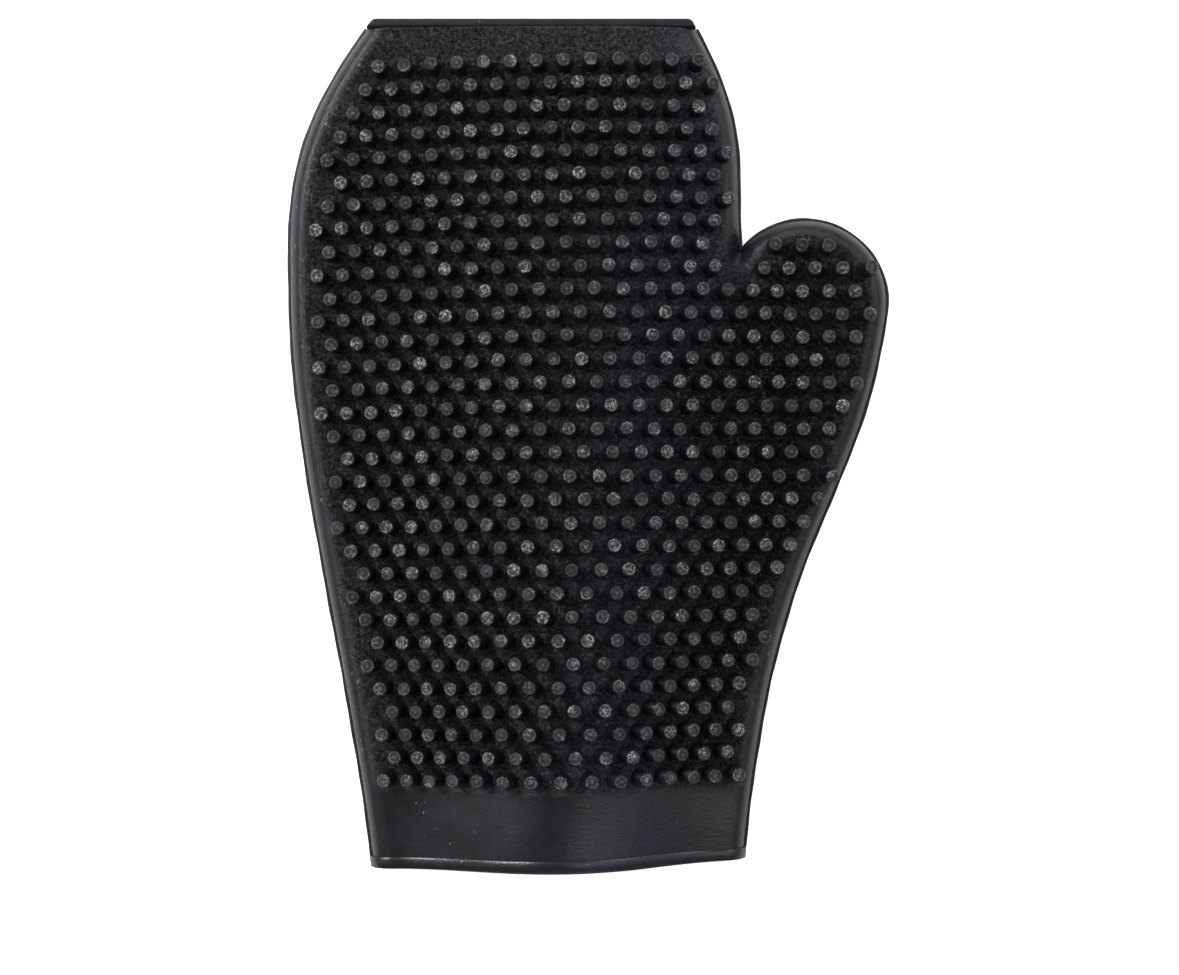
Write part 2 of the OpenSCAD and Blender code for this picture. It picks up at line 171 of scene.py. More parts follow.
def to_segment(p, a, b):
    """The distance of points from a straight stretch."""
    ab = b - a
    t = np.clip((p - a) @ ab / (ab @ ab), 0, 1)
    return np.linalg.norm(p - a - t[..., None] * ab, axis=-1)


def side_distance(p):
    """The distance of points from the nearest side, not counting the cuff and the fingertip end."""
    best = np.full(p.shape[:-1], 1e9)
    for line in (left_side(0), finger_side(0), thumb_arc(0, np.linspace(0, 1, 60)), heel_side(0)):
        for a, b in zip(line[:-1], line[1:]):
            best = np.minimum(best, to_segment(p, a, b))
    return best


def smooth(t):
    """A ramp from 0 to 1 that starts and ends level."""
    t = np.clip(t, 0, 1)
    return t * t * (3 - 2 * t)


def rounded(d, r):
    """A quarter circle of radius r that climbs from the side, where d is 0."""
    return np.sqrt(np.clip(r * r - (r - np.clip(d, 0, r)) ** 2, 0, None))


def crown(p):
    """The palm's crown: a squared cosine across the hand, highest at the cuff and nearly lost at
    the fingertips."""
    x, y = p[..., 0], p[..., 1]
    s = (y - CUFF_Y) / LENGTH
    mid = 2 * RISE_MID - (RISE_CUFF + RISE_TIP) / 2
    rise = (1 - s) ** 2 * RISE_CUFF + 2 * s * (1 - s) * mid + s * s * RISE_TIP
    narrow = smooth((y - CUFF_Y - FLANK_FROM) / (FLANK_TO - FLANK_FROM))
    heel = np.where(y < thumb_start[1], x_at(heel_side(0), y), HALF_W)
    right = (1 - narrow) * heel + narrow * x_at(finger_side(0), y) - FLANK_IN
    left = x_at(left_side(0), y) + FLANK_IN
    top = CROWN_CUFF_X + (CROWN_TIP_X - CROWN_CUFF_X) * s
    u = np.where(x < top, (x - top) / (top - left), (x - top) / (right - top))
    return rise * np.cos(np.pi / 2 * np.clip(u, -1, 1)) ** 2


def crease(p, inset):
    """The share of the height that the crease takes, a bell across the line below the crotch."""
    line = crotch - crease_end
    along = (p - crease_end) @ line / (line @ line)
    share = min(1, CREASE_DEPTH / ROLL_R * (1.4 if inset else 1))
    return share * smooth(along) * np.exp(-(to_segment(p, crease_end, crotch) / CREASE_W) ** 2)


def palm_rise(p, inset=0):
    """The palm's height above the parting plane, outside, or inside where inset is the wall."""
    return (rounded(side_distance(p) - inset, ROLL_R - inset) + crown(p)) * (1 - crease(p, inset))


def back_rise(p, inset=0):
    """The back's depth below the parting plane: a rounded side and then flat."""
    return rounded(side_distance(p) - inset, ROLL_R - inset)


def unevenness(p):
    """Long shallow waves, because thin moulded rubber never lies quite true."""
    x, y = p[..., 0], p[..., 1]
    return (0.16 * np.sin(x / 15 + 1.3) * np.sin(y / 21 + 0.4) + 0.1 * np.sin(x / 6.3 - y / 9.1)
            + 0.07 * np.sin(x / 11 + y / 4.7 + 2))


PLAIN_CUFF, PLAIN_TIP, PLAIN_SIDE, PLAIN_FADE = 21, -3, 2, 4
LEAN = 13
CREASE_ROOT_X = CUFF_X + CUFF_W / 5
ROWS_BELOW, ROWS_BESIDE, ROWS_ABOVE = 118, 48, 40
COLS_SIDE, COLS_PALM, COLS_THUMB = 9, 86, 36


def row_ends(inset):
    """Three points of every row: on the left side, on the crease line, and on the right side.
    Rows above the crotch end at the index finger, so their last two points are the same."""
    left, fingers = left_side(inset), finger_side(inset)
    notch = crotch + inset * toward(CREASE_ANGLE)
    t = np.arange(ROWS_BELOW) / ROWS_BELOW
    root = np.array([CREASE_ROOT_X, CUFF_Y + CUFF_SKEW / 2])
    y = CUFF_Y + t * (crease_end[1] - LEAN - CUFF_Y)
    heel = side_curve(HEEL_RIGHT, inset, -1, ROWS_BELOW)[:-1]
    below = [np.c_[x_at(left, y), y], root + t[:, None] * (crease_end - root), heel]
    t = np.arange(ROWS_BESIDE) / ROWS_BESIDE
    y = crease_end[1] - LEAN + t * (crotch[1] - crease_end[1] + 2 * LEAN)
    beside = [np.c_[x_at(left, y), y], crease_end + t[:, None] * (notch - crease_end),
              thumb_arc(inset, t)]
    t = np.arange(ROWS_ABOVE + 1) / ROWS_ABOVE
    top = BAND_Y - END_R - inset
    y = crotch[1] + LEAN + t * (top - crotch[1] - LEAN)
    right_y = crotch[1] + t * (top - crotch[1])
    right = np.c_[x_at(fingers, right_y), right_y]
    right[0] = notch
    above = [np.c_[x_at(left, y), y], right, right]
    return [np.vstack(parts) for parts in zip(below, beside, above)]


def spread(a, b, r, from_side, to_side, middle):
    """Places along rows from a to b, even in the middle and crowded over each rounded side."""
    length = np.linalg.norm(b - a, axis=1)[:, None]
    s = np.minimum(r, length * 0.4)
    turn = 1 - np.cos(np.linspace(0, np.pi / 2, COLS_SIDE + 1))[None, :-1]
    first = s if from_side else 0 * s
    last = s if to_side else 0 * s
    parts = [first * turn] if from_side else []
    parts.append(first + (length - first - last) * np.linspace(0, 1, middle + 1)[None, :])
    if to_side:
        parts.append(length - (s * turn)[:, ::-1])
    d = np.concatenate(parts, axis=1) / np.maximum(length, 1e-9)
    return a[:, None] + (b - a)[:, None] * d[:, :, None]


def shell_grid(inset, rise, sign):
    """A skin of the shell as rows of points; its last rows turn down to the parting plane."""
    a, b, c = row_ends(inset)
    r = ROLL_R - inset
    flat = np.concatenate([spread(a, b, r, True, True, COLS_PALM),
                           spread(b, c, r, False, True, COLS_THUMB)[:, 1:]], axis=1)
    up = rise(flat, inset)
    up[:, [0, -1]] = 0
    up = up + unevenness(flat) * smooth(up / ROLL_R)
    turn = np.radians([20, 40, 60, 75, 90])
    edge = np.repeat(flat[-1:], len(turn) + 1, axis=0)
    drop = np.maximum(up[-1] - END_R * (1 - np.cos(turn))[:, None], 0)
    edge[:-1, :, 1] += END_R * np.sin(turn)[:, None]
    edge[-1, :, 1] += END_R
    flat = np.concatenate([flat, edge])
    up = np.concatenate([up, drop, 0 * up[-1:]])
    return np.dstack([flat, MID_Z + sign * up])


def grid_quads(index, flip=False):
    """The quads of a grid of vertex numbers, facing +Z where rows climb +Y and columns climb +X."""
    q = np.stack([index[:-1, :-1], index[:-1, 1:], index[1:, 1:], index[1:, :-1]], -1).reshape(-1, 4)
    return q[:, ::-1] if flip else q


def put_mesh(name, points, quads, material, sharp=38):
    """Makes an object from points in millimetres and quads. A quad with two equal corners
    becomes a triangle, a flatter one goes, and so does a point that no face uses. Gives the
    object and the numbers of the points that it kept."""
    same = quads == np.roll(quads, -1, axis=1)
    folded = same.sum(1)
    tris = quads[folded == 1][~same[folded == 1]].reshape(-1, 3)
    quads = quads[folded == 0]
    used, where = np.unique(np.concatenate([quads.ravel(), tris.ravel()]), return_inverse=True)
    faces = where[:quads.size].reshape(-1, 4).tolist() + where[quads.size:].reshape(-1, 3).tolist()
    mesh = bpy.data.meshes.new(name)
    mesh.from_pydata((points[used] * MM).tolist(), [], faces)
    mesh.shade_smooth()
    mesh.set_sharp_from_angle(angle=math.radians(sharp))
    mesh.materials.append(material)
    piece = bpy.data.objects.new(name, mesh)
    bpy.context.scene.collection.objects.link(piece)
    return piece, used


def studded(p):
    """Where pins or nubs grow: 1 there, falling to 0 over a few millimetres towards the smooth
    cuff, the fingertip end and the sides."""
    off_cuff = smooth((p[:, 1] - CUFF_Y - PLAIN_CUFF) / PLAIN_FADE)
    off_band = smooth((BAND_Y - PLAIN_TIP - p[:, 1]) / PLAIN_FADE)
    return off_cuff * off_band * smooth((side_distance(p) - PLAIN_SIDE) / PLAIN_FADE)


def half_shell(name, rise, sign, material):
    """Closed half of the hollow shell: outer skin, inner skin, and the strips that join them at
    the sides, the cuff and the fingertip end. Above the crotch the thumb's columns are one point.
    The "field" attribute says where the outside is studded."""
    outer, inner = shell_grid(0, rise, sign), shell_grid(WALL, rise, sign)
    rows, cols = outer.shape[:2]
    index = np.arange(rows * cols).reshape(rows, cols)
    first_thumb = 2 * COLS_SIDE + COLS_PALM
    index[ROWS_BELOW + ROWS_BESIDE:, first_thumb + 1:] = index[ROWS_BELOW + ROWS_BESIDE:, [first_thumb]]
    within = index + rows * cols
    up = sign > 0
    strips = [([index[:, 0], within[:, 0]], up), ([within[:, -1], index[:, -1]], up),
              ([index[0], within[0]], not up), ([within[-1], index[-1]], not up)]
    quads = [grid_quads(index, not up), grid_quads(within, up)]
    quads += [grid_quads(np.stack(pair), flip) for pair, flip in strips]
    points = np.concatenate([outer.reshape(-1, 3), inner.reshape(-1, 3)])
    piece, used = put_mesh(name, points, np.concatenate(quads), material)
    outside = used < rows * cols
    layer = piece.data.attributes.new("field", "FLOAT", "POINT")
    layer.data.foreach_set("value", (studded(points[used, :2]) * outside).astype(np.float32))
    return piece


def node_group(name, inputs, outputs):
    """An empty shader node group with named inputs, given as (name, value), and named outputs."""
    group = bpy.data.node_groups.new(name, "ShaderNodeTree")
    for label, value in inputs:
        kind = "NodeSocketVector" if value is None else "NodeSocketFloat"
        socket = group.interface.new_socket(label, in_out="INPUT", socket_type=kind)
        if value is not None:
            socket.default_value = value
    for label in outputs:
        group.interface.new_socket(label, in_out="OUTPUT", socket_type="NodeSocketFloat")
    return group, group.nodes.new("NodeGroupInput"), group.nodes.new("NodeGroupOutput")


def add(tree, kind, links=(), **values):
    """A node with its sockets linked or set: links are (input, output socket) pairs."""
    node = tree.nodes.new(kind)
    for key, value in values.items():
        setattr(node, key, value)
    for socket, source in links:
        if hasattr(source, "is_output"):
            tree.links.new(source, node.inputs[socket])
        else:
            node.inputs[socket].default_value = source
    return node


def ramp(tree, source, low, high, out_low=0.0, out_high=1.0):
    """A smooth step of a value, from low to high."""
    links = [(0, source), (1, low), (2, high), (3, out_low), (4, out_high)]
    return add(tree, "ShaderNodeMapRange", links, interpolation_type="SMOOTHSTEP").outputs[0]


def calc(tree, operation, a, b=0.0, c=0.0):
    """One step of arithmetic."""
    return add(tree, "ShaderNodeMath", [(0, a), (1, b), (2, c)], operation=operation).outputs[0]


def noise(tree, vector, scale, detail, rough=0.5):
    """Plain noise, with its scale in features per metre."""
    return add(tree, "ShaderNodeTexNoise", [("Vector", vector), ("Scale", scale), ("Detail", detail),
                                            ("Roughness", rough)]).outputs[0]


def make_grain():
    """Moulded rubber's skin: fine grain, a soft leathery unevenness, small pits, and the faint
    strokes of the tool that finished the mould, which run across the mitt."""
    group, start, end = node_group("moulded_grain", [("Vector", None), ("Grain", 1.0)], ["Height"])
    vector = start.outputs["Vector"]
    fine = noise(group, vector, 1700, 3, 0.65)
    leather = noise(group, vector, 420, 3, 0.5)
    across = add(group, "ShaderNodeMapping", [("Vector", vector), ("Scale", (0.12, 1, 1))]).outputs[0]
    strokes = noise(group, across, 1300, 2, 0.6)
    cells = add(group, "ShaderNodeTexVoronoi", [("Vector", vector), ("Scale", 520)]).outputs[0]
    pits = ramp(group, cells, 0.05, 0.2, -1, 0)
    grain = calc(group, "MULTIPLY_ADD", fine, 0.55, calc(group, "MULTIPLY", leather, 0.5))
    grain = calc(group, "MULTIPLY_ADD", strokes, 0.3, grain)
    grain = calc(group, "MULTIPLY", grain, start.outputs["Grain"])
    group.links.new(calc(group, "MULTIPLY_ADD", pits, 0.25, grain), end.inputs["Height"])
    return group


def make_dust():
    """What settles on black rubber: cloudy bloom in patches, its tint, and sparse pale specks."""
    group, start, end = node_group("bloom_and_dust", [("Vector", None), ("Specks", 1.0)],
                                   ["Bloom", "Specks", "Tint"])
    vector = start.outputs["Vector"]
    patches = ramp(group, noise(group, vector, 28, 3, 0.55), 0.38, 0.7)
    smear = ramp(group, noise(group, vector, 170, 5, 0.65), 0.35, 0.75)
    bloom = calc(group, "MULTIPLY_ADD", patches, 0.6, calc(group, "MULTIPLY", smear, 0.4))
    group.links.new(bloom, end.inputs["Bloom"])
    moved = add(group, "ShaderNodeMapping", [("Vector", vector), ("Location", (0.12, 0.31, 0))])
    tint = ramp(group, noise(group, moved.outputs[0], 15, 2), 0.4, 0.62)
    group.links.new(tint, end.inputs["Tint"])
    where = ramp(group, noise(group, vector, 60, 2), 0.42, 0.6)
    found = []
    kinds = ((420, 1, 0, 0.8), (420, 0.45, 0.6, 0.78), (460, 0.4, -1.1, 0.8))
    for scale, stretch, turn, chance in kinds:
        across = add(group, "ShaderNodeMapping", [("Vector", vector), ("Rotation", (0, 0, turn)),
                                                  ("Scale", (1, stretch, 1))]).outputs[0]
        cells = add(group, "ShaderNodeTexVoronoi", [("Vector", across), ("Scale", scale)])
        dot = ramp(group, cells.outputs["Distance"], 0.05, 0.13, 1, 0)
        pick = add(group, "ShaderNodeSeparateColor", [(0, cells.outputs["Color"])]).outputs[0]
        found.append(calc(group, "MULTIPLY", dot, ramp(group, pick, chance, chance + 0.1)))
    specks = calc(group, "MAXIMUM", calc(group, "MAXIMUM", found[0], found[1]), found[2])
    specks = calc(group, "MULTIPLY", specks, where)
    group.links.new(calc(group, "MULTIPLY", specks, start.outputs["Specks"]), end.inputs["Specks"])
    return group


GRAIN, DUST = make_grain(), make_dust()
# Where the painted sheen on the palm lies: its middle line, its lean and its half width, in
# millimetres.
PAINTED_SHEEN_X, PAINTED_SHEEN_LEAN, PAINTED_SHEEN_HALF_W = 18, 0.15, 34


def mix_color(tree, share, a, b):
    """Color a turned into color b by a share."""
    node = tree.nodes.new("ShaderNodeMix")
    node.data_type = "RGBA"
    for socket, source in ((0, share), (6, a), (7, b)):
        if hasattr(source, "is_output"):
            tree.links.new(source, node.inputs[socket])
        else:
            node.inputs[socket].default_value = source if socket == 0 else (*source, 1)
    return node.outputs[2]


def rubber(name, dark, bloomed, roughness, specks=1.0, grain=1.0, bump=0.12):
    """Black rubber: a dark body, paler where sulphur has bloomed to the surface and violet-blue
    in broad patches, with dust on it. Gives the material, its tree and shader, and the color,
    the height and the bump node that a piece may build on."""
    material = bpy.data.materials.new(name)
    material.use_nodes = True
    tree = material.node_tree
    shader = tree.nodes["Principled BSDF"]
    place = add(tree, "ShaderNodeTexCoord").outputs["Object"]
    dust = add(tree, "ShaderNodeGroup", node_tree=DUST)
    skin = add(tree, "ShaderNodeGroup", node_tree=GRAIN)
    for node in (dust, skin):
        tree.links.new(place, node.inputs["Vector"])
    dust.inputs["Specks"].default_value = specks
    skin.inputs["Grain"].default_value = grain
    bluer = (bloomed[0] * 0.8, bloomed[1] * 0.85, bloomed[2] * 1.7)
    color = mix_color(tree, dust.outputs["Tint"], bloomed, bluer)
    color = mix_color(tree, dust.outputs["Bloom"], dark, color)
    color = mix_color(tree, dust.outputs["Specks"], color, (0.3, 0.3, 0.31))
    height = calc(tree, "MULTIPLY_ADD", dust.outputs["Specks"], 0.8, skin.outputs["Height"])
    tree.links.new(calc(tree, "MULTIPLY_ADD", dust.outputs["Bloom"], 0.12, roughness),
                   shader.inputs["Roughness"])
    relief = add(tree, "ShaderNodeBump", [("Height", height), ("Strength", 1.0),
                                          ("Distance", bump * MM)])
    tree.links.new(relief.outputs[0], shader.inputs["Normal"])
    tree.links.new(color, shader.inputs["Base Color"])
    shader.inputs["Specular IOR Level"].default_value = 0.36
    shader.inputs["Sheen Weight"].default_value = 0.02
    shader.inputs["Sheen Roughness"].default_value = 0.5
    shader.inputs["Sheen Tint"].default_value = (0.8, 0.82, 1, 1)
    return material, tree, shader, color, height, relief


def make_shell_rubber():
    """The shell's rubber: smooth and a little bloomed outside the pin field, and between the pins
    deep black, which is painted shade, blotchy and wrinkled. A violet patch of painted sheen runs
    along the middle of the palm and leans towards the thumb's side at the fingertips."""
    material, tree, shader, color, height, relief = rubber(
        "shell_rubber", (0.006, 0.006, 0.0067), (0.0125, 0.0124, 0.0142), 0.24, bump=0.1)
    field = add(tree, "ShaderNodeAttribute", attribute_name="field").outputs["Fac"]
    place = add(tree, "ShaderNodeTexCoord").outputs["Object"]
    grit = ramp(tree, noise(tree, place, 950, 4, 0.8), 0.54, 0.66)
    blotch = ramp(tree, noise(tree, place, 1000, 5, 0.75), 0.36, 0.64)
    shine = calc(tree, "MULTIPLY_ADD", field, calc(tree, "MULTIPLY_ADD", blotch, 0.54, -0.53), 0.55)
    tree.links.new(shine, shader.inputs["Specular IOR Level"])
    wrinkles = calc(tree, "MULTIPLY_ADD", calc(tree, "MULTIPLY", blotch, field), 1.9, height)
    tree.links.new(wrinkles, relief.inputs["Height"])
    # Between the pins the colour is darkened nearly to black: painted shade from the pins.
    color = mix_color(tree, calc(tree, "MULTIPLY", field, 0.82), color, (0.0022, 0.0022, 0.0026))
    color = mix_color(tree, calc(tree, "MULTIPLY", calc(tree, "MULTIPLY", grit, field), 0.55), color,
                      (0.09, 0.09, 0.095))
    # Painted sheen: a broad violet-grey patch, lighter than the rubber, along the middle of the palm.
    xyz = add(tree, "ShaderNodeSeparateXYZ", [(0, place)])
    middle = calc(tree, "MULTIPLY_ADD", xyz.outputs["Y"], -PAINTED_SHEEN_LEAN, xyz.outputs["X"])
    off_middle = calc(tree, "ABSOLUTE", calc(tree, "SUBTRACT", middle, PAINTED_SHEEN_X * MM))
    painted_sheen_patches = ramp(tree, noise(tree, place, 35, 3, 0.6), 0.25, 0.55)
    bloom = calc(tree, "MULTIPLY", ramp(tree, off_middle, 0, PAINTED_SHEEN_HALF_W * MM, 1, 0), painted_sheen_patches)
    bloom = calc(tree, "MULTIPLY", bloom, calc(tree, "MULTIPLY_ADD", blotch, 0.6, 0.4))
    color = mix_color(tree, calc(tree, "MULTIPLY", bloom, field), color, (0.028, 0.0272, 0.041))
    tree.links.new(color, shader.inputs["Base Color"])
    return material


shell_rubber = make_shell_rubber()
palm = half_shell("palm_shell", palm_rise, 1, shell_rubber)
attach(palm, "root")
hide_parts("palm_panel")


# Back half of the shell -------------------------------------------------------------
# The other half of the moulding, of the same rubber and thickness. Its sides are rounded as
# the palm's are, and the rest lies flat, a nub's height above the table.

back = half_shell("back_shell", back_rise, -1, shell_rubber)
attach(back, "root")
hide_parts("back_panel")


# Parting ridge ------------------------------------------------------------------------
# Rubber that squeezed out between the two halves of the mould and was trimmed by hand, so it
# is a thin fin of slightly uneven width along both sides and round the thumb.

RIDGE_OUT, RIDGE_SUNK, RIDGE_STEP = 0.8, 0.3, 0.8
RIDGE_T, RIDGE_EDGE_T, RIDGE_FOOT = 1.0, 0.45, 0.15


def fin(side, seed):
    """A wedge swept along a side: rows are its points, columns go round the wedge's section.
    Its width wanders by a sum of sines along the way."""
    line, out = side(0), side(-1) - side(0)
    way = np.concatenate([[0], np.cumsum(np.linalg.norm(np.diff(line, axis=0), axis=1))])
    even = np.linspace(0, way[-1], int(way[-1] / RIDGE_STEP))
    line = np.stack([np.interp(even, way, line[:, k]) for k in (0, 1)], -1)
    out = np.stack([np.interp(even, way, out[:, k]) for k in (0, 1)], -1)
    wander = 0.07 * np.sin(even / 5.3 + seed) + 0.05 * np.sin(even / 1.9 + 2 * seed) - 0.06
    section = [(-RIDGE_SUNK, -RIDGE_T / 2), (RIDGE_FOOT, -RIDGE_T / 2), (RIDGE_OUT, -RIDGE_EDGE_T / 2),
               (RIDGE_OUT, RIDGE_EDGE_T / 2), (RIDGE_FOOT, RIDGE_T / 2), (-RIDGE_SUNK, RIDGE_T / 2)]
    rings = []
    for off, z in section:
        width = off + wander if off == RIDGE_OUT else np.full(len(line), off)
        rings.append(np.c_[line + out * width[:, None], np.full(len(line), MID_Z + z)])
    return np.stack(rings, axis=1)


def put_fin(name, grids, node, material, flip):
    """Fins swept as grids, closed round their section and at both ends."""
    points, quads, count = [], [], 0
    for grid in grids:
        rows, cols = grid.shape[:2]
        index = count + np.arange(rows * cols).reshape(rows, cols)
        ring = np.c_[index, index[:, 0]]
        quads.append(grid_quads(ring, flip))
        for end, turn in ((index[0], not flip), (index[-1], flip)):
            caps = np.array([[end[0], end[1], end[4], end[5]], [end[1], end[2], end[3], end[4]]])
            quads.append(caps[:, ::-1] if turn else caps)
        points.append(grid.reshape(-1, 3))
        count += rows * cols
    piece, _ = put_mesh(name, np.concatenate(points), np.concatenate(quads), material, 25)
    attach(piece, "root")
    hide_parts(node)


def thumb_side(inset):
    """The heel and the thumb's round end, from the cuff to the crotch."""
    return np.vstack([heel_side(inset), thumb_arc(inset, np.linspace(0, 1, 90))[1:]])


ridge_rubber = rubber("ridge_rubber", (0.004, 0.004, 0.0045), (0.01, 0.01, 0.011), 0.45, grain=1.6)[0]
put_fin("ridge_left", [fin(left_side, 0.4)], "parting_ridge_left", ridge_rubber, True)
put_fin("ridge_right", [fin(thumb_side, 1.7), fin(finger_side, 3.1)], "parting_ridge_right",
        ridge_rubber, False)


# Fingertip band -------------------------------------------------------------------------
# A flat strip that closes the straight end, where the core was held in the mould. It is a
# little lower than the palm beside it, with round corners and a narrow groove at the joint.

band_high = box_mm("fingertip_band")[1]
BAND_CORNER_R = 2
BAND_EDGE_R = 0.7


def band_outline(inset, steps=14):
    """Seen from above: the straight groove side, then two arcs joined by the straight end.
    Moving it inwards by inset keeps the arcs' centres."""
    up = band_high[1] - BAND_CORNER_R - BAND_Y
    corners = []
    for corner, lean, sign in ((tip_right, TIP_RIGHT_HANDLE[1], -1), (tip_left, TIP_LEFT_HANDLE[1], 1)):
        centre = corner + [up / math.tan(math.radians(lean)), up]
        centre = centre + [sign * BAND_CORNER_R / math.sin(math.radians(lean)), 0]
        angles = np.radians(np.linspace(lean - 90, 90, steps) if sign < 0
                            else np.linspace(90, lean + 90, steps))
        arc = centre + (BAND_CORNER_R - inset) * np.stack([np.cos(angles), np.sin(angles)], -1)
        foot = corner + [sign * inset / math.sin(math.radians(lean)), inset]
        corners.append((foot, arc))
    (right_foot, right_arc), (left_foot, left_arc) = corners
    ends = [np.linspace(right_foot, right_arc[0], 4)[:-1], right_arc,
            np.linspace(right_arc[-1], left_arc[0], 60)[1:-1], left_arc,
            np.linspace(left_arc[-1], left_foot, 4)[1:-1], np.linspace(left_foot, right_foot, 60)[:-1]]
    return np.vstack(ends)


def put_band(material):
    """Rings of the outline that shrink over the rounded edges, above and below, and close on
    the band's long middle line."""
    turn = np.radians(np.linspace(0, 90, 5))
    insets = BAND_EDGE_R * (1 - np.cos(turn))
    rises = band_high[2] - MID_Z - BAND_EDGE_R * (1 - np.sin(turn))
    rings = [np.c_[band_outline(i), np.full(len(band_outline(i)), z)] for i, z in zip(insets, rises)]
    flat = rings[-1].copy()
    flat[:, 1] = BAND_Y + (band_high[1] - BAND_Y) / 2
    flat[:, 0] = np.clip(flat[:, 0], tip_left[0] + 4, tip_right[0] - 4)
    rings.append(flat)
    top = np.stack(rings)
    under = top[::-1] * [1, 1, -1]
    grid = np.concatenate([under, top]) + [0, 0, MID_Z]
    rows, cols = grid.shape[:2]
    index = np.arange(rows * cols).reshape(rows, cols)
    quads = grid_quads(np.c_[index, index[:, 0]])
    piece, _ = put_mesh("band", grid.reshape(-1, 3), quads, material, 50)
    return piece


band_rubber = rubber("band_rubber", (0.011, 0.011, 0.0115), (0.024, 0.0235, 0.025), 0.33)[0]
band = put_band(band_rubber)
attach(band, "root")
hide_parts("fingertip_band")


# Cuff bead --------------------------------------------------------------------------------
# A low flat bead moulded round the open end, so that the edge doesn't tear when it is pulled
# over a hand. Its upper step is crisp and catches the light.

BEAD_W, BEAD_OUT, BEAD_ROUND, BEAD_SUNK = 3.2, 0.7, 0.35, 0.25


def cuff_loop(up, count=110):
    """The outside of the shell at a distance above the cuff edge, with its outward direction:
    over the palm from left to right, and back under the mitt."""
    left = np.array([x_at(left_side(0), CUFF_Y + up), CUFF_Y + up])
    right_y = CUFF_Y + CUFF_SKEW + up
    right = np.array([x_at(heel_side(0), right_y), right_y])
    line = spread(left[None], right[None], ROLL_R, True, True, count)[0]
    loops = []
    for rise, sign in ((palm_rise, 1), (back_rise, -1)):
        high = rise(line)
        high[[0, -1]] = 0
        high = high + unevenness(line) * smooth(high / ROLL_R)
        points = np.c_[line, MID_Z + sign * high]
        along = np.gradient(points, axis=0)
        out = sign * np.stack([-along[:, 2], 0 * along[:, 0], along[:, 0]], -1)
        out /= np.linalg.norm(out, axis=1)[:, None]
        out[0], out[-1] = (-1, 0, 0), (1, 0, 0)
        loops.append((points, out))
    (top, top_out), (under, under_out) = loops
    return np.vstack([top, under[-2:0:-1]]), np.vstack([top_out, under_out[-2:0:-1]])


def put_bead(material):
    """A low trapezoid with rounded corners, swept round the mouth and closed on itself."""
    q = BEAD_ROUND
    section = [(0, -BEAD_SUNK), (0, BEAD_OUT - q), (q * 0.3, BEAD_OUT - q * 0.3), (q, BEAD_OUT),
               (BEAD_W / 2, BEAD_OUT + 0.05), (BEAD_W - q, BEAD_OUT),
               (BEAD_W - q * 0.3, BEAD_OUT - q * 0.3), (BEAD_W, BEAD_OUT - q), (BEAD_W, -BEAD_SUNK)]
    rings = []
    for up, off in section:
        points, out = cuff_loop(up)
        rings.append(points + off * out)
    grid = np.stack(rings)
    rows, cols = grid.shape[:2]
    index = np.arange(rows * cols).reshape(rows, cols)
    index = np.vstack([index, index[:1]])
    quads = grid_quads(np.c_[index, index[:, 0]])
    return put_mesh("bead", grid.reshape(-1, 3), quads, material, 42)[0]


bead = put_bead(shell_rubber)
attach(bead, "root")
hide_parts("cuff_bead")


# Pins ---------------------------------------------------------------------------------------
# Soft rubber pins in 32 rows, moulded in one with the palm and standing square to its curve.
# Each has a flared root, a flat tip with a rounded rim, and a small sprue dot in the middle.

PIN_H, PIN_R, PIN_ROOT_R = 5.5, 1.9, 2.4
PIN_PITCH, ROW_PITCH, FIELD_TURN = 7.3, 6.33, 0.86
FIRST_ROW, FIRST_PIN_X, ROW_BOW = 10.9, -6.6, 0.8
PIN_ROWS = sum(name.startswith("pin_row_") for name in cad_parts)
OUTER_MARGIN, FINGER_MARGIN, HEEL_MARGIN, HEEL_H = 7, 3.4, 5.2, 88
CREASE_MARGIN, CROTCH_MARGIN = 2.6, 6
PROBE = 0.3
SIDE_LEAN = 0.5
PIN_SIDES = 12
# radius and height of each ring, from the root up and over the rim
PIN_PROFILE = np.array([(PIN_ROOT_R + 0.3, -0.6), (PIN_ROOT_R - 0.12, 0.35),
                        (PIN_R + 0.05, PIN_H - 0.42), (PIN_R - 0.42, PIN_H),
                        (PIN_R * 0.5, PIN_H - 0.12), (0, PIN_H + 0.02)])


def slope_x(p):
    """How steeply the crown climbs along +X."""
    step = np.array([PROBE, 0])
    return (crown(p + step) - crown(p - step)) / (2 * PROBE)


def is_inside(p):
    """Whether points lie between the sides."""
    x, y = p[..., 0], p[..., 1]
    by_thumb = np.where(y > thumb_start[1], HALF_W, x_at(heel_side(0), y))
    above = (y > crotch[1]) & (np.linalg.norm(p - thumb_c, axis=-1) > THUMB_R)
    return (x > x_at(left_side(0), y)) & (x < np.where(above, x_at(finger_side(0), y), by_thumb))


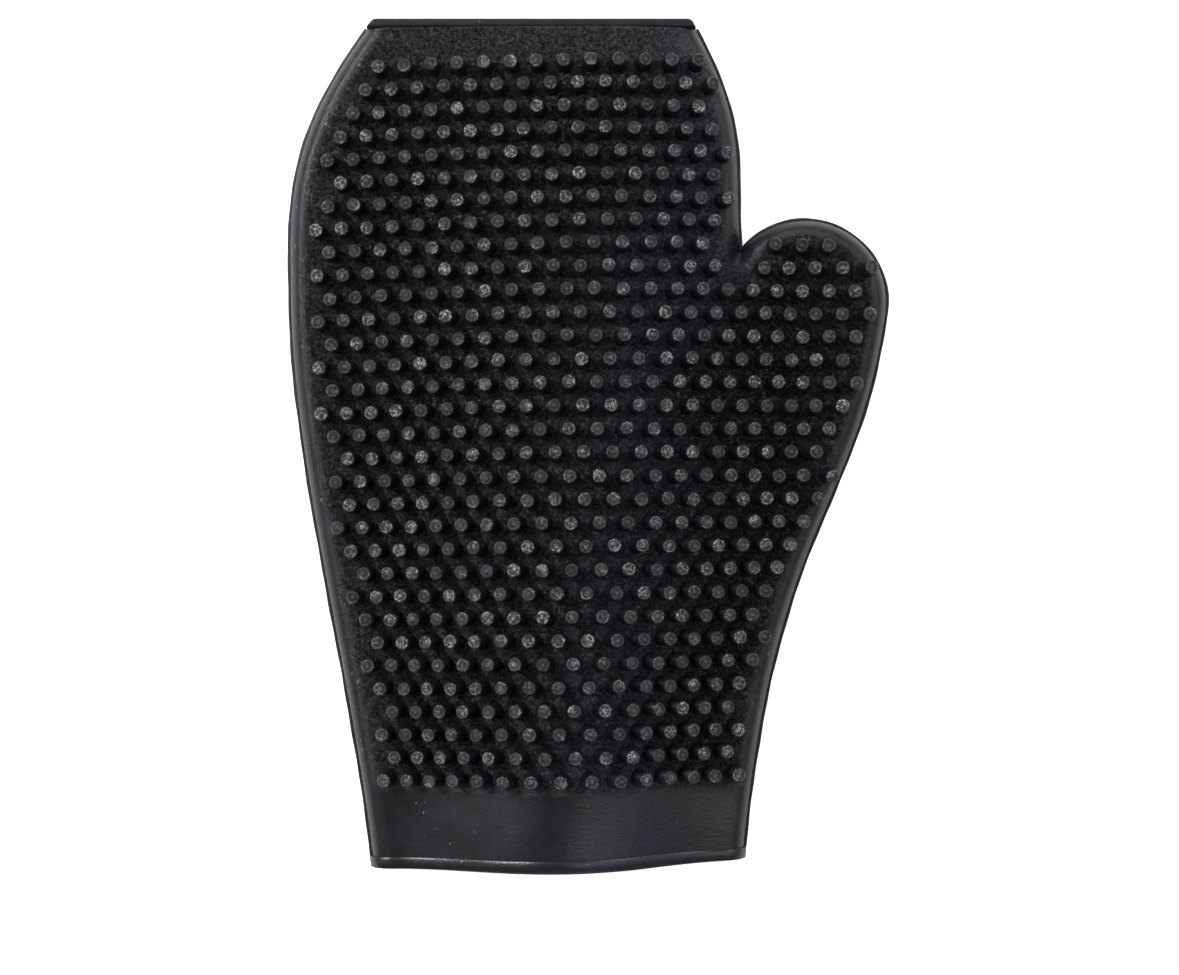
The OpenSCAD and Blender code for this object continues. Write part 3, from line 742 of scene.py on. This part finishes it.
def pin_places():
    """Every row's pins: from a middle pin outwards both ways, a pitch apart over the curve of
    the palm, as (row number, x, y), leaving the margins free."""
    row = np.arange(PIN_ROWS)
    tilt = math.tan(math.radians(FIELD_TURN))
    flat = PIN_PITCH * math.cos(math.radians(FIELD_TURN))
    x = FIRST_PIN_X + row % 2 * PIN_PITCH / 2 + tilt * ROW_PITCH * row
    start = np.c_[x, BAND_Y - FIRST_ROW - ROW_PITCH * row + tilt * x]
    found = [np.c_[row, start]]
    for way in (1, -1):
        p = start.copy()
        for _ in range(int(2 * HALF_W / PIN_PITCH)):
            half = p + np.c_[way * flat / 2 / np.sqrt(1 + slope_x(p) ** 2), 0 * row]
            dx = way * flat / np.sqrt(1 + slope_x(half) ** 2)
            p = p + np.c_[dx, tilt * dx]
            found.append(np.c_[row, p])
    found = np.vstack(found)
    p = found[:, 1:]
    p[:, 1] -= ROW_BOW * (p[:, 0] / HALF_W) ** 2
    heel = p[:, 1] < CUFF_Y + HEEL_H
    margin = np.where(p[:, 0] < TIP_X, OUTER_MARGIN, np.where(heel, HEEL_MARGIN, FINGER_MARGIN))
    room = is_inside(p) & (side_distance(p) >= margin) & (np.abs(p[:, 0]) <= HALF_W)
    room &= np.linalg.norm(p - crotch, axis=1) >= CROTCH_MARGIN
    return found[room & (to_segment(p, crease_end, crotch) >= CREASE_MARGIN)]


def pin_directions(p):
    """Which way pins point: square to the crown, plus a share of the rounded side's slope,
    worked out from the heights on both sides of each pin."""
    def height(q):
        return crown(q) + SIDE_LEAN * rounded(side_distance(q), ROLL_R)
    sx, sy = ((height(p + step) - height(p - step)) / (2 * PROBE)
              for step in (np.array([PROBE, 0]), np.array([0, PROBE])))
    n = np.stack([-sx, -sy, np.ones(len(p))], -1)
    return n / np.linalg.norm(n, axis=1)[:, None]


def turned(profile, sides, spin):
    """A profile of (radius, height) turned round +Z, as (piece, ring, side, xyz)."""
    angle = spin[:, None] + np.linspace(0, 2 * np.pi, sides, endpoint=False)[None]
    r = profile[None, :, :1]
    h = np.broadcast_to(profile[None, :, 1:], (len(spin), len(profile), sides))
    return np.stack([r * np.cos(angle)[:, None], r * np.sin(angle)[:, None], h], -1)


def stud_quads(count, rings, sides):
    """Quads of turned studs that point up +Z; the last ring is one point, a fan's centre."""
    index = np.arange(count * rings * sides).reshape(count, rings, sides)
    index[:, -1] = index[:, -1, :1]
    ring = np.concatenate([index, index[:, :, :1]], axis=2)
    q = np.stack([ring[:, :-1, :-1], ring[:, :-1, 1:], ring[:, 1:, 1:], ring[:, 1:, :-1]], -1)
    return q.reshape(-1, 4)


def pin_rubber():
    """The pins' rubber: dark at the root, scuffed grey and scratched on the tip, with pale lines there
    that are partly painted highlight glints, a paler ring near the rim that is a painted highlight, the
    turned mould's ring darkened as painted shade in its groove, and a pale dot in the middle."""
    material, tree, shader, color, height, relief = rubber(
        "pin_rubber", (0.0025, 0.0025, 0.003), (0.0065, 0.0065, 0.0078), 0.3, specks=0.7, bump=0.12)
    local = add(tree, "ShaderNodeUVMap", uv_map="tip").outputs[0]
    radius = add(tree, "ShaderNodeVectorMath", [(0, local)], operation="LENGTH").outputs["Value"]
    up = add(tree, "ShaderNodeAttribute", attribute_name="up").outputs["Fac"]
    worn = add(tree, "ShaderNodeAttribute", attribute_name="worn").outputs["Fac"]
    place = add(tree, "ShaderNodeTexCoord").outputs["Object"]
    scuff = ramp(tree, noise(tree, place, 1250, 3, 0.7), 0.42, 0.66)
    on_tip = ramp(tree, up, 0.9, 0.99)
    amount = calc(tree, "MULTIPLY", on_tip, calc(tree, "MULTIPLY_ADD", scuff, 0.8, 0.2))
    amount = calc(tree, "MULTIPLY", amount, worn)
    color = mix_color(tree, amount, color, (0.098, 0.098, 0.101))
    # Pale lines on the tips: partly scratches, partly painted highlight glints.
    level = noise(tree, place, 620, 2, 0.6)
    line = calc(tree, "ABSOLUTE", calc(tree, "SUBTRACT", level, 0.5))
    patch = ramp(tree, noise(tree, place, 210, 1), 0.43, 0.56)
    scratches_and_glints = calc(tree, "MULTIPLY", ramp(tree, line, 0.012, 0.04, 1, 0),
                   calc(tree, "MULTIPLY", on_tip, patch))
    color = mix_color(tree, calc(tree, "MULTIPLY", scratches_and_glints, worn), color, (0.55, 0.55, 0.55))
    # A paler ring near the tip's rim: a painted highlight.
    rim_highlight = calc(tree, "MULTIPLY", calc(tree, "MULTIPLY", ramp(tree, radius, 0.52, 0.6), on_tip), scuff)
    ring = calc(tree, "MULTIPLY", ramp(tree, radius, 0.3, 0.42), ramp(tree, radius, 0.5, 0.62, 1, 0))
    dot = ramp(tree, radius, 0.12, 0.2, 1, 0)
    # The ring's darker colour is painted shade in its groove.
    color = mix_color(tree, calc(tree, "MULTIPLY", calc(tree, "MULTIPLY", ring, on_tip), 0.5), color,
                      (0.012, 0.012, 0.013))
    # The rim's painted highlight and the pale sprue dot share one paler grey.
    color = mix_color(tree, calc(tree, "MULTIPLY", calc(tree, "MAXIMUM", rim_highlight, dot), 0.35), color,
                      (0.2, 0.2, 0.2))
    tree.links.new(color, shader.inputs["Base Color"])
    steps = calc(tree, "MULTIPLY_ADD", ring, -1.6, calc(tree, "MULTIPLY", dot, 1.8))
    steps = calc(tree, "MULTIPLY", calc(tree, "MULTIPLY_ADD", scuff, 2.2, steps), on_tip)
    tree.links.new(calc(tree, "ADD", height, steps), relief.inputs["Height"])
    return material


def put_studs(name, centres, out, profile, sides, spin, material, worn):
    """Turned studs set at their centres along their directions, with what the material reads:
    the place across the tip, the height, and each stud's wear."""
    local = turned(profile, sides, spin)
    side = np.cross(out, [0.0, 1.0, 0.0])
    side /= np.linalg.norm(side, axis=1)[:, None]
    axes = np.stack([side, np.cross(out, side), out], 1)
    points = centres[:, None, None] + np.einsum("nrsk,nkx->nrsx", local, axes)
    quads = stud_quads(len(centres), len(profile), sides)
    piece, used = put_mesh(name, points.reshape(-1, 3), quads, material, 60)
    mesh = piece.data
    flat = local.reshape(-1, 3)[used]
    uv = mesh.uv_layers.new(name="tip")
    corner = np.zeros(len(mesh.loops), dtype=np.int32)
    mesh.loops.foreach_get("vertex_index", corner)
    uv.data.foreach_set("uv", (flat[corner, :2] / profile[1:, 0].max()).astype(np.float32).ravel())
    for label, values in (("up", flat[:, 2] / profile[:, 1].max()),
                          ("worn", np.repeat(worn, len(profile) * sides)[used])):
        layer = mesh.attributes.new(label, "FLOAT", "POINT")
        layer.data.foreach_set("value", values.astype(np.float32))
    return piece


pin_material = pin_rubber()
places = pin_places()
pin_random = np.random.default_rng(7)
for number in range(PIN_ROWS):
    spots = places[places[:, 0] == number][:, 1:]
    spots = spots[np.argsort(spots[:, 0])]
    out = pin_directions(spots) + pin_random.normal(0, 0.018, (len(spots), 3))
    out /= np.linalg.norm(out, axis=1)[:, None]
    roots = np.c_[spots, MID_Z + palm_rise(spots) + unevenness(spots)]
    row = put_studs(f"pins_{number + 1:02d}", roots, out, PIN_PROFILE, PIN_SIDES,
                    pin_random.uniform(0, 2 * np.pi, len(spots)), pin_material,
                    pin_random.uniform(0.5, 1.0, len(spots)) ** 2)
    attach(row, "root")
    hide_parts(f"pin_row_{number + 1:02d}")


# Back nubs -----------------------------------------------------------------------------------
# Low blunt nubs on the reverse, for the face and the legs, three rows to a piece. They share
# the pins' rubber, and the mitt rests on their flat tips.

NUB_H, NUB_R, NUB_ROOT_R = 1.5, 1.3, 1.8
NUB_PITCH, NUB_MARGIN, NUB_GROUP, CUFF_PLAIN = 9, 11, 3, 26
NUB_ROW_PITCH = NUB_PITCH * math.sin(math.radians(60))
NUB_SIDES = 10
# radius and height above the back of each ring, from the root to the tip
NUB_PROFILE = np.array([(NUB_ROOT_R + 0.3, -0.3), (NUB_ROOT_R - 0.1, 0.25), (NUB_R, NUB_H - 0.3),
                        (NUB_R - 0.3, NUB_H), (0, NUB_H)])


def nub_places(row):
    """A row of nubs at one pitch, every second row shifted by half of it."""
    most = math.ceil(HALF_W / NUB_PITCH)
    x = (np.arange(-most, most + 1) + row % 2 / 2) * NUB_PITCH
    p = np.c_[x, np.full(len(x), CUFF_Y + CUFF_PLAIN + row * NUB_ROW_PITCH)]
    return p[is_inside(p) & (side_distance(p) >= NUB_MARGIN)]


nub_rows = int((BAND_Y - FIRST_ROW - CUFF_Y - CUFF_PLAIN) / NUB_ROW_PITCH) + 1
nub_groups = sum(name.startswith("back_nubs_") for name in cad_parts)
for group in range(nub_groups):
    spots = np.vstack([nub_places(row) for row in
                       range(group * NUB_GROUP, min(nub_rows, (group + 1) * NUB_GROUP))])
    roots = np.c_[spots, np.full(len(spots), NUB_H)]
    down = np.tile([0.0, 0.0, -1.0], (len(spots), 1))
    nubs = put_studs(f"nubs_{group + 1:02d}", roots, down, NUB_PROFILE, NUB_SIDES,
                     pin_random.uniform(0, 2 * np.pi, len(spots)), pin_material,
                     pin_random.uniform(0.3, 0.8, len(spots)))
    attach(nubs, "root")
    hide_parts(f"back_nubs_{group + 1:02d}")


# Floor and lights -----------------------------------------------------------------------------
# A sheet that looks white but throws little light on the mitt's sides, softboxes round the table
# that are strongest beyond the fingertips on the left, and pale walls under a dim ceiling, which
# look white where the camera sees them.

FLOOR_HALF = 3.0
FLOOR_DROP = 0.0001
FLOOR_GLOW, FLOOR_SPILL = 0.8, 0.05
SKY_LOW, SKY_HIGH = 0.1, 0.36
SKY_WALLS, SKY_CEILING = 0.4, 0.16

floor_mesh = bpy.data.meshes.new("table")
floor_mesh.from_pydata([(x * FLOOR_HALF, y * FLOOR_HALF, -FLOOR_DROP)
                        for x, y in ((-1, -1), (1, -1), (1, 1), (-1, 1))], [], [(0, 1, 2, 3)])
floor_paint = bpy.data.materials.new("pale_sheet")
floor_paint.use_nodes = True
floor_shader = floor_paint.node_tree.nodes["Principled BSDF"]
floor_shader.inputs["Base Color"].default_value = (0.93, 0.93, 0.93, 1)
floor_shader.inputs["Roughness"].default_value = 0.9
floor_shader.inputs["Specular IOR Level"].default_value = 0.1
floor_shader.inputs["Emission Color"].default_value = (1, 1, 1, 1)
seen = add(floor_paint.node_tree, "ShaderNodeLightPath").outputs["Is Camera Ray"]
glow = calc(floor_paint.node_tree, "MULTIPLY_ADD", seen, FLOOR_GLOW - FLOOR_SPILL, FLOOR_SPILL)
floor_paint.node_tree.links.new(glow, floor_shader.inputs["Emission Strength"])
floor_mesh.materials.append(floor_paint)
floor = bpy.data.objects.new("table", floor_mesh)
bpy.context.scene.collection.objects.link(floor)


def softbox(name, place, size, power):
    """An area light that faces the middle of the mitt."""
    data = bpy.data.lights.new(name, "AREA")
    data.shape = "RECTANGLE"
    data.size, data.size_y = size
    data.energy = power
    light = bpy.data.objects.new(name, data)
    light.location = place
    turn = (-light.location).to_track_quat("-Z", "Y")
    light.rotation_euler = turn.to_euler()
    bpy.context.scene.collection.objects.link(light)


softbox("softbox_far_left", (-1.07, 0.69, 1.07), (0.75, 0.36), 27)
softbox("softbox_far_right", (1.2, 0.6, 1.05), (0.4, 0.3), 5)
softbox("softbox_far", (0, 1.4, 1.05), (1.2, 0.5), 6.5)
softbox("softbox_right", (1.0, -0.1, 1.25), (0.4, 1.2), 2)
softbox("softbox_left", (-1.3, -0.2, 1.1), (0.4, 1.2), 0.8)
softbox("softbox_near", (0, -1.6, 0.9), (1.6, 0.5), 5)
softbox("softbox_above", (0.42, 0.02, 1.45), (0.3, 0.55), 1.1)

sky = bpy.data.worlds.new("studio")
sky.use_nodes = True
sky_way = add(sky.node_tree, "ShaderNodeTexCoord").outputs["Generated"]
sky_up = add(sky.node_tree, "ShaderNodeSeparateXYZ", [(0, sky_way)]).outputs["Z"]
sky_glow = ramp(sky.node_tree, sky_up, SKY_LOW, SKY_HIGH, SKY_WALLS, SKY_CEILING)
sky_seen = add(sky.node_tree, "ShaderNodeLightPath").outputs["Is Camera Ray"]
sky_glow = calc(sky.node_tree, "MAXIMUM", sky_glow, sky_seen)
sky.node_tree.nodes["Background"].inputs[0].default_value = (1, 1, 1, 1)
sky.node_tree.links.new(sky_glow, sky.node_tree.nodes["Background"].inputs[1])
bpy.context.scene.world = sky
bpy.context.scene.view_settings.view_transform = "Standard"
